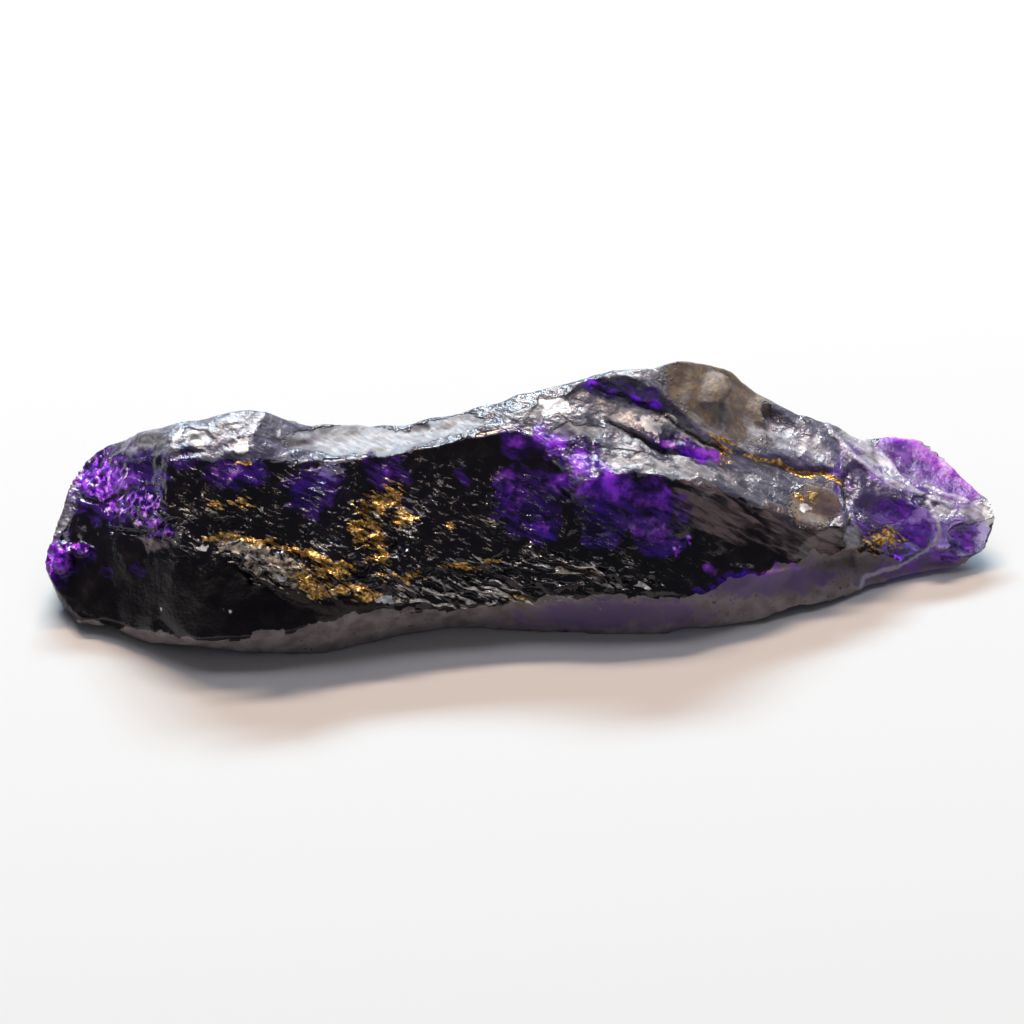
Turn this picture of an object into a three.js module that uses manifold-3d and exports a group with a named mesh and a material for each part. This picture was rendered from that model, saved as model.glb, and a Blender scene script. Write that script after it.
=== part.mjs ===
// A rough tanzanite crystal: one long, bent splinter of natural violet stone.
// Units are millimetres, +Z is up, +X runs along the crystal towards its clear, pointed end,
// and the broad front faces look towards -Y. The stone rests on one flat cleavage facet at Z = 0.
//
// The body is skinned over named ridge lines that run from the blunt end to the pointed end.
// Small solids are then joined to it (lumps) and cut from it (chips, scoops, notches).

import * as THREE from 'three';
import { mergeVertices } from 'three/addons/utils/BufferGeometryUtils.js';
import Module from 'manifold-3d';

// ---- Driving dimensions -------------------------------------------------------------------

const LENGTH = 71.2;                  // overall, blunt end to pointed end; the stone scales with it
const SHEET_TILT = THREE.MathUtils.degToRad(40);  // lean of the layout sheet, from flat to upright
const HACKLE = 0.06;                  // height of the broken surface, as a share of an edge
const HACKLE_LIMIT = 0.24;            // and its most, in mm
const KNOBBLE = 0.09;                 // unevenness of a lump, as a share of its radius
const DISH_RINGS = 5;                 // facets of a scoop from its middle outwards ...
const DISH_SIDES = 18;                // ... and around it
const DISH_REACH = 1.15;              // how far its cutter runs past its rim, as a share of its radius
const RIPPLE = 0.09;                  // height of its ripples, as a share of its depth
const RIPPLE_TURN = 9;                // and their angle from middle to rim, in radians
const CUTTER_HEAD = 2;                // how far a scoop's cutter stands out of the surface, in mm
const CRACK_HEAD = 0.5;               // how far a crack's cutter rises above its edge, in mm
const CRACK_LEAN = 0.15;              // how far back a crack's foot lies, in mm
const CRACK_SILL = 0.12;              // drop of its front sill, as a share of its depth
const CRACK_TIP = 0.15;               // bluntness of its two ends, in steps of its edge
const SOLE_HEIGHT = 0;                // height of the resting facet
const BLOCK = 200;                    // side of the block that a cleavage face removes
const SHORTEST_EDGE = 0.12;           // shorter edges are drawn together after the cuts
const POINT_SIZE = 0.03;              // an edge this short is a point, and always goes
const FLAT_EDGE = 2.5;                // and so are edges up to this length ...
const FLATNESS = 0.015;               // ... where the skin moves no more than this
const THINNEST_FACET = 0.002;         // mm², smaller facets count as slivers
const STONE_COLOUR = 0x2b1b3d;        // deep violet, nearly black
const STONE_ROUGHNESS = 0.22;

// ---- Ridge lines ----------------------------------------------------------------------------
// Front ridges are laid out on a sheet that leans back from the viewer's side: a point is
// [along, up the sheet, height above the table]. Its depth follows from the other two.
// Back ridges are hidden from that side, and their points are plain [x, y, z].

const BLUNT_TIP = [-34.9, -3.8, 3.5];
const POINTED_TIP = [36.3, -0.4, 2.9];

// The skyline: left hump, saddle, high shoulder of the upper plate, then down to the clear end.
const CREST = [
  [-34.65, -3.0, 4.1], [-34.3, -1.4, 4.9], [-33.7, 0.3, 5.7], [-33.0, 2.2, 6.4], [-32.0, 3.8, 7.1],
  [-30.2, 5.1, 8.6], [-27.9, 5.9, 10.8], [-24.9, 6.7, 12.9], [-20.8, 7.5, 13.4], [-18.3, 7.5, 13.4],
  [-16.7, 6.8, 12.6], [-14.8, 6.4, 11.6], [-12.9, 6.5, 11.3], [-10.7, 6.4, 11], [-8.4, 6.5, 11],
  [-6.2, 7.0, 11.4], [-3.9, 7.3, 12], [-0.9, 8.2, 12.8], [2.1, 9.1, 13.4], [5.1, 9.9, 14],
  [7.5, 10.6, 14.8], [9.6, 10.7, 15], [11.1, 10.9, 14.9], [12.3, 11.3, 14.7], [14.1, 11.1, 13.7],
  [15.8, 10.7, 12.4], [16.8, 10.2, 11.5], [17.9, 9.3, 10.6], [20.1, 8.0, 9.1], [21.3, 7.4, 8.5],
  [23.1, 6.8, 7.9], [24.5, 6.4, 7.4], [26.3, 5.4, 6.4], [27.0, 5.5, 5.9], [30.4, 5.5, 5.1],
  [32.1, 4.7, 4.7], [33.6, 2.9, 4.3], [35.1, 1.4, 3.7], [35.9, 0.8, 3.4],
];

// Front edge of the upper plate, which breaks away in a steep riser on the right half.
const PLATE_EDGE = [
  [-34.3, -2.7, 4.1], [-33.7, -0.9, 5], [-32.5, 1.8, 6.3], [-30.9, 3.7, 7.6], [-28.6, 4.9, 10],
  [-25.6, 5.5, 12.6], [-22.3, 6.0, 13.3], [-19.3, 6.0, 13.3], [-16.6, 5.5, 12.4], [-14.7, 5.2, 11.3],
  [-12.1, 5.2, 11], [-8.8, 5.6, 11], [-6.2, 5.9, 11.5], [-3.1, 6.6, 12.2], [-0.1, 7.5, 13],
  [2.5, 8.4, 13.4], [5.0, 9.6, 14], [6.6, 10.1, 14.6], [8.3, 10.2, 14.9], [9.6, 9.75, 14.7],
  [10.8, 9.0, 14.1], [11.8, 8.2, 13.3], [12.7, 7.4, 12.6], [14.1, 6.1, 11.3], [15.7, 5.2, 10.1],
  [17.5, 4.6, 9], [19.3, 4.4, 8.5], [21.6, 4.1, 7.7], [23.3, 3.6, 7.1], [24.8, 3.0, 6.6],
  [25.6, 4.0, 6.7], [26.7, 3.2, 6.2], [27.9, 2.3, 5.6], [29.5, 2.0, 5], [31.0, 2.0, 4.6],
  [32.5, 1.6, 4.3], [34.0, 1.3, 4], [35.3, 1.0, 3.7],
];

// Foot of that riser, on the crinkled top face.
const RISER_FOOT = [
  [-34.3, -2.9, 4], [-33.6, -1.5, 4.8], [-32.4, 1.1, 6.1], [-30.8, 3.2, 7.6], [-28.5, 4.3, 10],
  [-25.5, 4.8, 12.5], [-22.3, 5.0, 13], [-19.3, 5.0, 12.9], [-16.7, 4.7, 12], [-14.6, 4.4, 11.2],
  [-12.2, 4.5, 11.2], [-8.8, 4.9, 11.2], [-6.0, 5.3, 11.7], [-3.2, 6.0, 12.3], [-0.2, 6.8, 12.8],
  [2.5, 7.5, 13.1], [5.1, 9.3, 13.7], [6.6, 8.6, 13.2], [8.3, 8.3, 13], [9.6, 7.9, 12.9],
  [11.0, 7.7, 12.6], [11.9, 7.3, 12.1], [12.9, 6.8, 11.6], [14.4, 5.6, 10.5], [15.9, 4.7, 9.4],
  [17.6, 4.0, 8.5], [19.4, 3.6, 7.8], [20.7, 3.1, 7.3], [22.5, 2.6, 6.7], [23.6, 2.7, 6.5],
  [24.7, 2.1, 6.1], [25.8, 3.4, 6.3], [26.9, 2.7, 5.9], [27.9, 1.9, 5.4], [29.5, 1.6, 4.9],
  [30.4, 1.4, 4.6], [31.1, 0.5, 4.2], [32.9, 0.9, 4], [34.2, 0.5, 3.8], [35.1, 0.5, 3.6],
];

// The brow, where the top faces turn down into the dark front.
const BROW = [
  [-34.2, -3.1, 3.9], [-33.5, -2.3, 4.5], [-32.4, 0.0, 5.7], [-30.6, 2.4, 7.3], [-28.4, 3.5, 9.7],
  [-25.5, 3.9, 12.1], [-22.3, 3.9, 12.5], [-19.3, 3.8, 12.3], [-16.7, 3.7, 11.8], [-14.4, 3.8, 11.5],
  [-12.5, 3.9, 11.4], [-10.7, 4.1, 11.3], [-8.4, 4.4, 11.4], [-6.2, 4.8, 11.8], [-3.5, 5.4, 12.3],
  [-0.9, 5.9, 12.6], [0.5, 6.1, 12.7], [1.4, 5.6, 12.4], [2.6, 4.5, 11.8], [3.6, 3.3, 11.2],
  [4.4, 2.0, 10.7], [5.6, 2.3, 11], [7.1, 2.6, 11.2], [9.6, 2.9, 11.4], [11.3, 2.6, 11],
  [13.4, 2.0, 10.1], [15.6, 1.6, 9], [17.7, 0.9, 7.8], [19.5, 0.1, 6.9], [21.6, -0.7, 6],
  [23.4, -1.1, 5.5], [24.8, -1.2, 5.3], [25.4, -0.5, 5.2], [26.7, -1.3, 4.6], [27.6, -1.1, 4.4],
  [29.4, -0.5, 4.3], [30.2, 0.5, 4.5], [31.2, 0.0, 4], [32.2, -1.5, 3.2], [33.2, -0.8, 3.4],
  [34.8, -0.6, 3.2], [35.6, -0.2, 3.2],
];

// The belly of the front face.
const BELLY = [
  [-34.1, -3.8, 3.3], [-33.0, -3.2, 4], [-31.3, -1.1, 5.4], [-28.7, -0.2, 7.6], [-25.7, 0.5, 10.1],
  [-22.3, 0.6, 10.4], [-18.9, 0.5, 10.1], [-15.9, 0.5, 9.8], [-12.9, 0.7, 9.8], [-10.3, 0.9, 9.2],
  [-8.0, 1.1, 9.3], [-5.4, 1.7, 9.9], [-2.4, 2.1, 10.2], [0.6, 2.6, 10.4], [3.0, 2.0, 10],
  [4.5, 0.5, 9.2], [6.6, 0.0, 8.9], [9.6, -0.2, 9], [12.6, -0.6, 8.2], [15.6, -1.2, 6.9],
  [18.6, -2.0, 5.6], [21.6, -2.5, 4.5], [24.5, -2.6, 3.5], [25.7, -2.8, 3], [26.6, -2.2, 3.2],
  [28.0, -1.8, 3.2], [29.5, -1.4, 3.1], [30.8, -1.4, 3], [32.0, -2.6, 2.3], [32.9, -2.4, 2.3],
  [34.5, -2.3, 2], [35.6, -1.7, 2.2],
];

// The curved ledge that crosses the waist, and its continuation as a bench to the right.
const LEDGE = [
  [-34.2, -4.5, 2.6], [-32.7, -5.1, 2.7], [-30.2, -4.1, 4.2], [-27.2, -3.3, 6.3], [-24.2, -2.6, 8.4],
  [-22.8, -1.9, 8.7], [-20.8, -1.7, 8.6], [-18.5, -2.0, 8.3], [-16.5, -2.5, 7.9], [-14.6, -3.3, 7.7],
  [-12.5, -4.4, 6.9], [-10.8, -5.3, 5.9], [-9.6, -5.9, 5.4], [-8.6, -4.7, 6.2], [-5.4, -3.6, 6.6],
  [-2.4, -3.0, 6.8], [0.6, -2.6, 6.7], [3.6, -2.5, 6.7], [6.6, -2.6, 6.6], [9.6, -3.0, 6.4],
  [12.6, -3.3, 5.8], [15.6, -3.5, 5], [18.6, -3.8, 4.2], [21.6, -3.6, 3.4], [24.2, -3.2, 2.5],
  [25.4, -3.1, 2.2], [26.3, -3.3, 1.9], [28.0, -3.5, 1.8], [29.5, -3.4, 1.6], [31.0, -3.1, 1.5],
  [32.5, -3.3, 1.4], [34.1, -3.3, 1.2], [35.5, -2.9, 1.2],
];

// The swell below the ledge: the big blunt lobe on the left, a low bench on the right.
const SWELL = [
  [-33.9, -5.9, 1.8], [-32.0, -6.8, 1.9], [-29.4, -6.9, 2.5], [-26.4, -6.6, 4.1], [-23.0, -5.1, 6.8],
  [-20.4, -4.1, 7.3], [-17.8, -4.5, 6.6], [-15.9, -5.7, 5.8], [-13.7, -6.6, 5.2], [-11.4, -6.9, 4.6],
  [-9.8, -6.8, 4.4], [-8.4, -5.9, 4.9], [-6.2, -5.3, 5.1], [-3.2, -5.0, 5.1], [0.6, -5.1, 4.9],
  [3.6, -5.3, 4.7], [6.6, -5.6, 4.5], [9.6, -5.8, 4.3], [12.3, -6.0, 3.9], [14.6, -5.9, 3.6],
  [16.2, -5.3, 3.8], [18.2, -4.8, 3.8], [20.1, -4.5, 3.5], [21.6, -4.1, 3.1], [23.9, -3.6, 2.2],
  [25.3, -3.3, 1.7], [25.9, -4.4, 1.2], [27.0, -4.8, 0.9], [28.1, -4.2, 1.1], [29.6, -3.8, 1.1],
  [31.0, -3.5, 1.1], [32.5, -3.55, 0.9], [34.1, -3.55, 0.9], [35.3, -3.2, 0.8],
];

// Upper edge of the rim, below which the stone turns under.
const RIM = [
  [-33.9, -6.2, 1.4], [-32.9, -7.3, 1.2], [-32.0, -7.9, 1.3], [-30.9, -8.0, 1.3], [-29.4, -8.2, 1.5],
  [-27.5, -8.9, 1.6], [-26.0, -9.2, 2], [-23.4, -9.5, 2.7], [-20.4, -9.3, 2.9], [-17.4, -9.0, 3.1],
  [-14.4, -8.3, 3.4], [-11.4, -8.0, 3.2], [-8.4, -7.6, 3.3], [-5.4, -7.2, 3.4], [-2.4, -6.8, 3.6],
  [0.6, -6.4, 3.7], [3.6, -6.5, 3.6], [6.6, -6.6, 3.5], [9.6, -6.7, 3.4], [12.6, -6.7, 3.2],
  [15.6, -6.4, 2.9], [17.9, -5.8, 2.8], [20.1, -5.7, 2.2], [22.4, -5.9, 1.3], [24.6, -6.1, 0.7],
  [26.0, -5.4, 0.7], [26.6, -5.2, 0.6], [27.9, -4.7, 0.8], [29.5, -4.2, 0.8], [31.0, -3.8, 0.8],
  [32.5, -3.8, 0.7], [34.1, -3.7, 0.7], [35.3, -3.4, 0.7],
];

// The lowest front edge, where the stone meets or nearly meets the table.
const FOOT = [
  [-34.4, -5.5, 0.8], [-33.9, -6.5, 0.7], [-33.0, -7.6, 0.6], [-32.4, -8.3, 0.5], [-30.9, -8.6, 0.5],
  [-29.8, -8.6, 0.5], [-28.7, -9.1, 0.4], [-27.2, -9.7, 0.4], [-24.9, -9.9, 0.6], [-21.9, -10.3, 0.4],
  [-18.9, -10.5, 0.2], [-15.9, -10.6, 0], [-14.0, -10.6, 0], [-12.5, -10.3, 0], [-10.3, -9.7, 0],
  [-8.4, -9.2, 0], [-5.4, -8.8, 0], [-2.4, -8.7, 0], [0.6, -8.9, 0], [4.4, -9.0, 0], [8.1, -9.1, 0],
  [11.7, -9.1, 0], [13.4, -8.6, 0.2], [17.1, -8.3, 0.2], [19.0, -7.9, 0.4], [20.9, -7.1, 0.7],
  [23.1, -6.8, 0.5], [25.0, -6.35, 0.3], [26.3, -5.7, 0.4], [28.0, -5.3, 0.3], [29.5, -4.8, 0.4],
  [31.4, -4.4, 0.4], [33.5, -4.1, 0.4], [34.2, -3.9, 0.4], [35.6, -3.5, 0.4],
];

// The underside: its middle dips below the table line here and is planed off flat later.
const SOLE_FRONT = [
  [-33.8, -9.7, 0.6], [-30.9, -12, 0.4], [-27.2, -13.5, 0.3], [-21.9, -14.8, -0.5],
  [-15.9, -15.2, -0.7], [-10.7, -14.2, -0.7], [-4.7, -12.9, -0.7], [3.6, -12.6, -0.7],
  [9.6, -12.7, -0.7], [15.6, -11.4, -0.5], [20.9, -10, 0.4], [26.1, -7.9, 0.2],
  [30.6, -6.3, 0.3], [34.4, -4.9, 0.4],
];
const SOLE_BACK = [
  [-33.8, -7.5, 0.7], [-30.9, -5.7, 0.3], [-27.2, -4.9, 0.2], [-21.9, -4.0, -0.6],
  [-15.9, -3.4, -0.7], [-10.7, -4.2, -0.6], [-4.7, -2.4, -0.7], [3.6, -1.2, -0.7],
  [9.6, -0.4, -0.6], [15.6, -1.2, -0.4], [20.9, -3, 0.4], [26.1, -3.4, 0.3],
  [30.6, -2.6, 0.4], [34.4, -3.1, 0.5],
];

// The far side: a low heel and the edge where the back turns over to the crest.
const HEEL = [
  [-33.9, -6.8, 2.1], [-31.4, -1.7, 2.1], [-27.6, -0.6, 2], [-23.4, 0.8, 4], [-18.6, 1.9, 2.9],
  [-13.9, 0.8, 4.3], [-9.2, -0.6, 3.2], [-3.3, 2.0, 4.2], [2.4, 3.2, 3.0], [7.3, 5.2, 4.6],
  [12.7, 6, 3.4], [17.2, 5.7, 4.1], [21.7, 2.8, 2.3], [26.4, 1.7, 1.7], [31.2, 1.6, 1.4],
  [34.4, -1.2, 1.6],
];
const BACK = [
  [-33.9, -7.8, 3.8], [-30.9, -0.8, 5.6], [-27.2, -0.7, 8.1], [-22.4, -0.6, 9.2], [-18.5, -0.6, 9.5],
  [-15.9, -0.6, 8.7], [-10.7, -0.8, 8.0], [-5.2, 0.2, 8.3], [-0.6, 1.7, 8.6], [3.8, 2.2, 9.6],
  [9.2, 2.8, 10.3], [13.2, 5.2, 9.2], [16.4, 5.2, 8.3], [20.5, 3.5, 6.5], [26.1, 1.8, 5],
  [30.6, 2.8, 4], [34.4, -1.3, 3.4],
];

// ---- Layout helpers -------------------------------------------------------------------------

// A point on the leaning sheet, carried back or forward until it has its own height.
function fromSheet([along, up, height]) {
  const depth = (up - height * Math.cos(SHEET_TILT)) / Math.sin(SHEET_TILT);
  return new THREE.Vector3(along, depth, height);
}

function fromSpace([x, y, z]) {
  return new THREE.Vector3(x, y, z);
}

// A ridge runs through both tips of the stone, so that every ridge starts and ends alike.
function ridge(points, place) {
  return [fromSheet(BLUNT_TIP), ...points.map(place), fromSheet(POINTED_TIP)];
}

const RIDGES = [
  ...[CREST, PLATE_EDGE, RISER_FOOT, BROW, BELLY, LEDGE, SWELL, RIM, FOOT].map(
    (points) => ridge(points, fromSheet),
  ),
  ...[SOLE_FRONT, SOLE_BACK, HEEL, BACK].map((points) => ridge(points, fromSpace)),
];

// ---- Skin -----------------------------------------------------------------------------------

// Joins two neighbouring ridges with triangles, stepping along whichever has the nearer next point.
function stitch(upper, lower) {
  const triangles = [];
  let u = 0;
  let l = 0;
  while (u < upper.length - 1 || l < lower.length - 1) {
    const upperDone = u === upper.length - 1;
    const lowerDone = l === lower.length - 1;
    const stepUpper = lowerDone || (!upperDone && upper[u + 1].x <= lower[l + 1].x);
    if (stepUpper) {
      triangles.push([upper[u], lower[l], upper[u + 1]]);
      u += 1;
    } else {
      triangles.push([upper[u], lower[l], lower[l + 1]]);
      l += 1;
    }
  }
  return triangles;
}

function skin(ridges) {
  const strips = ridges.map((upper, i) => stitch(upper, ridges[(i + 1) % ridges.length]));
  const isFlat = ([a, b, c]) => a.distanceTo(b) < 1e-6 || b.distanceTo(c) < 1e-6 || a.distanceTo(c) < 1e-6;
  return strips.flat().filter((triangle) => !isFlat(triangle));
}

// A repeatable number between -1 and 1 for a place in the stone.
function grain(point) {
  const wave = Math.sin(point.x * 12.9898 + point.y * 78.233 + point.z * 37.719) * 43758.5453;
  return 2 * (wave - Math.floor(wave)) - 1;
}

const edgeKey = (a, b) => {
  const names = [a, b].map((p) => `${p.x.toFixed(4)},${p.y.toFixed(4)},${p.z.toFixed(4)}`);
  return names.sort().join('|');
};

// Splits every facet in four and lifts or sinks the new corners a little, as broken stone is.
function hackle(triangles) {
  const normals = new Map();
  for (const [a, b, c] of triangles) {
    const normal = new THREE.Triangle(a, b, c).getNormal(new THREE.Vector3());
    for (const [p, q] of [[a, b], [b, c], [c, a]]) {
      const key = edgeKey(p, q);
      normals.set(key, (normals.get(key) ?? new THREE.Vector3()).add(normal));
    }
  }
  const middle = (p, q) => {
    const centre = p.clone().add(q).multiplyScalar(0.5);
    const lift = Math.min(p.distanceTo(q) * HACKLE, HACKLE_LIMIT) * grain(centre);
    return centre.addScaledVector(normals.get(edgeKey(p, q)).clone().normalize(), lift);
  };
  return triangles.flatMap(([a, b, c]) => {
    const ab = middle(a, b);
    const bc = middle(b, c);
    const ca = middle(c, a);
    return [[a, ab, ca], [ab, b, bc], [ca, bc, c], [ab, bc, ca]];
  });
}

// ---- Solids ---------------------------------------------------------------------------------

const wasm = await Module();
wasm.setup();

function bareOf(geometry) {
  const bare = geometry.clone();
  bare.deleteAttribute('normal');
  bare.deleteAttribute('uv');
  return bare;
}

function toSolid(geometry) {
  const welded = mergeVertices(bareOf(geometry), 1e-5);
  return new wasm.Manifold(new wasm.Mesh({
    numProp: 3,
    vertProperties: new Float32Array(welded.attributes.position.array),
    triVerts: new Uint32Array(welded.index.array),
  }));
}

function toGeometry(solid) {
  const mesh = solid.getMesh();
  const geometry = new THREE.BufferGeometry();
  geometry.setAttribute('position', new THREE.BufferAttribute(new Float32Array(mesh.vertProperties), 3));
  geometry.setIndex(new THREE.BufferAttribute(new Uint32Array(mesh.triVerts), 1));
  return geometry;
}

function fromTriangles(triangles) {
  return new THREE.BufferGeometry().setFromPoints(triangles.flat());
}

// ---- Mending --------------------------------------------------------------------------------

const corner = (geometry, i) => new THREE.Vector3().fromBufferAttribute(geometry.attributes.position, i);

// The facets that hang together with the most others: crumbs that the cuts set free are dropped.
function mainBody(facets) {
  const leader = new Map();
  const find = (c) => {
    let top = c;
    while (leader.get(top) !== undefined) top = leader.get(top);
    return top;
  };
  for (const [a, b, c] of facets) {
    for (const other of [b, c]) {
      const [first, second] = [find(a), find(other)];
      if (first !== second) leader.set(second, first);
    }
  }
  const bodies = Map.groupBy(facets, ([a]) => find(a));
  return [...bodies.values()].sort((one, two) => two.length - one.length)[0];
}

// Draws together the ends of edges that are very short, or that carry no shape, so that the
// cuts leave no sliver facets. A collapse is kept only where the skin stays closed and unfolded.
function withoutSlivers(geometry) {
  const corners = Array.from({ length: geometry.attributes.position.count }, (_, i) => corner(geometry, i));
  const facets = Array.from({ length: geometry.index.count / 3 }, (_, f) => (
    [0, 1, 2].map((side) => geometry.index.getX(3 * f + side))
  ));
  const around = corners.map(() => new Set());
  facets.forEach((facet, f) => facet.forEach((c) => around[c].add(f)));

  const triangleOf = (facet) => new THREE.Triangle(...facet.map((c) => corners[c]));
  const neighbours = (c) => new Set([...around[c]].flatMap((f) => facets[f]).filter((n) => n !== c));

  // Whether every edge would still have two facets, and the ring around the corner stay single.
  const staysClosed = (gone, kept) => {
    const shared = [...neighbours(gone)].filter((n) => neighbours(kept).has(n));
    const left = [...new Set([...around[gone], ...around[kept]])].filter(
      (f) => !(facets[f].includes(gone) && facets[f].includes(kept)),
    );
    const rim = left.flatMap((f) => facets[f].filter((c) => c !== gone && c !== kept));
    return shared.length === 2 && rim.length === 2 * new Set(rim).size;
  };

  // How far the skin moves when corner `gone` slides to corner `kept`; Infinity where it may not.
  const shift = (gone, kept) => {
    if (!staysClosed(gone, kept)) return Infinity;
    const step = corners[kept].clone().sub(corners[gone]);
    if (step.length() < POINT_SIZE) return step.length();
    let worst = 0;
    for (const f of around[gone]) {
      const before = triangleOf(facets[f]);
      const normal = before.getNormal(new THREE.Vector3());
      const isThin = before.getArea() < THINNEST_FACET;
      if (!isThin) worst = Math.max(worst, Math.abs(normal.dot(step)));
      if (facets[f].includes(kept)) continue;
      const after = triangleOf(facets[f].map((c) => (c === gone ? kept : c)));
      if (after.getArea() < THINNEST_FACET) return Infinity;
      if (!isThin && after.getNormal(new THREE.Vector3()).dot(normal) < 0.5) return Infinity;
    }
    return worst;
  };

  const collapse = (gone, kept) => {
    for (const f of around[gone]) {
      if (facets[f].includes(kept)) {
        facets[f].forEach((c) => c !== gone && around[c].delete(f));
        facets[f] = null;
      } else {
        facets[f] = facets[f].map((c) => (c === gone ? kept : c));
        around[kept].add(f);
      }
    }
    around[gone].clear();
  };

  const tidy = (longest, allowed) => {
    let count = 0;
    for (let f = 0; f < facets.length; f += 1) {
      for (let side = 0; facets[f] && side < 3; side += 1) {
        const [a, b] = [facets[f][side], facets[f][(side + 1) % 3]];
        if (corners[a].distanceTo(corners[b]) > longest) continue;
        const [gone, kept] = shift(a, b) < shift(b, a) ? [a, b] : [b, a];
        if (shift(gone, kept) > allowed) continue;
        collapse(gone, kept);
        count += 1;
      }
    }
    return count;
  };

  const tidyAll = (longest, allowed) => {
    let drawnTogether = 1;
    while (drawnTogether > 0) drawnTogether = tidy(longest, allowed);
  };

  tidyAll(SHORTEST_EDGE, SHORTEST_EDGE);
  tidyAll(FLAT_EDGE, FLATNESS);

  const mended = new THREE.BufferGeometry();
  mended.setFromPoints(mainBody(facets.filter(Boolean)).flat().map((c) => corners[c]));
  return mergeVertices(mended, 1e-6);
}

// Turns a tool whose own axis is +Z so that the axis points out of the stone.
function aim(geometry, place, outward, spin = 0) {
  const axis = new THREE.Vector3(...outward).normalize();
  const turn = new THREE.Quaternion().setFromUnitVectors(new THREE.Vector3(0, 0, 1), axis);
  geometry.applyQuaternion(new THREE.Quaternion().setFromAxisAngle(new THREE.Vector3(0, 0, 1), spin));
  geometry.applyQuaternion(turn);
  geometry.translate(place.x, place.y, place.z);
  return geometry;
}

// A shell-like scoop: a shallow dish with faint ripples, struck into the surface.
function scoop(place, outward, [long, wide], depth, spin = 0) {
  const profile = [];
  for (let ring = 0; ring <= DISH_RINGS; ring += 1) {
    const reach = (DISH_REACH * ring) / DISH_RINGS;
    const wave = RIPPLE * depth * Math.cos(reach * RIPPLE_TURN);
    profile.push(new THREE.Vector2(reach, depth * (reach * reach - 1) + wave));
  }
  profile.push(new THREE.Vector2(DISH_REACH, depth + CUTTER_HEAD));
  profile.push(new THREE.Vector2(0, depth + CUTTER_HEAD));
  const dish = new THREE.LatheGeometry(profile, DISH_SIDES);
  dish.rotateX(Math.PI / 2);
  dish.scale(long, wide, 1);
  return toSolid(aim(dish, place, outward, spin));
}

// A knobbly lump, half sunk in the surface.
function lump(place, outward, [long, wide, high], spin = 0) {
  const ball = mergeVertices(bareOf(new THREE.IcosahedronGeometry(1, 2)), 1e-5);
  const points = ball.attributes.position;
  for (let i = 0; i < points.count; i += 1) {
    const knob = corner(ball, i);
    knob.multiplyScalar(1 + KNOBBLE * grain(knob));
    points.setXYZ(i, knob.x, knob.y, knob.z);
  }
  ball.scale(long, wide, high);
  return toSolid(aim(ball, place, outward, spin));
}

// A blunt wedge driven in below an overhanging edge. The edge is given along its top;
// at each point the cut goes `deep` straight down and `wide` out towards the front.
function wedgeUnder(edge, deep, wide) {
  const rings = edge.map((point, i) => {
    const swell = Math.sin((Math.PI * (i + CRACK_TIP)) / (edge.length - 1 + 2 * CRACK_TIP));
    const top = fromSheet(point);
    const place = (y, z) => new THREE.Vector3(top.x, top.y + y * swell, top.z + z);
    return [
      place(0, CRACK_HEAD),
      place(CRACK_LEAN, -deep * swell),
      place(-wide, -CRACK_SILL * deep),
      place(-wide, CRACK_HEAD),
    ];
  });
  const triangles = [];
  const sides = rings[0].length;
  for (let i = 0; i < rings.length - 1; i += 1) {
    for (let s = 0; s < sides; s += 1) {
      const t = (s + 1) % sides;
      triangles.push([rings[i][s], rings[i + 1][t], rings[i][t]]);
      triangles.push([rings[i][s], rings[i + 1][s], rings[i + 1][t]]);
    }
  }
  const first = rings[0];
  const last = rings[rings.length - 1];
  triangles.push([first[0], first[1], first[2]], [first[0], first[2], first[3]]);
  triangles.push([last[0], last[2], last[1]], [last[0], last[3], last[2]]);
  return toSolid(fromTriangles(triangles));
}

// A flat cleavage face: everything past a plane through `place` is split off.
function cleave(place, outward) {
  const block = new THREE.BoxGeometry(BLOCK, BLOCK, BLOCK);
  block.translate(0, 0, BLOCK / 2);
  return toSolid(aim(block, fromSpace(place), outward));
}

// ---- The crystal ----------------------------------------------------------------------------

// Beads, pebbles and crusts that stand proud of the broken faces.
function lumps() {
  return [
    lump(fromSheet([-33.7, -3.5, 3.6]), [-0.8, -0.5, 0.2], [1.1, 1.4, 0.9]),
    lump(fromSheet([-32.2, -2.7, 4.6]), [-0.4, -0.8, 0.3], [0.9, 0.6, 0.4]),
    lump(fromSheet([-17.2, -4.6, 6.9]), [0.15, -0.8, 0.5], [4.6, 1.5, 0.6], -0.45),
    lump(fromSheet([11.1, 6.7, 12.2]), [0, -0.2, 1], [1.4, 0.9, 0.6], -0.2),
    lump(fromSheet([14.3, 9.2, 12.6]), [0.1, -0.2, 1], [2.3, 1.7, 0.45], 0.3),
    lump(fromSheet([18.4, 7.7, 9.7]), [0.2, -0.2, 1], [1.9, 1.3, 0.35], -0.5),
    lump(fromSheet([22.7, 0.7, 6.2]), [0.1, -0.6, 0.8], [2.1, 1.5, 0.3], -0.3),
    lump(fromSheet([28.8, -2.5, 2.2]), [0.2, -0.9, 0.3], [1.7, 0.9, 0.3], 0.3),
  ];
}

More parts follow.
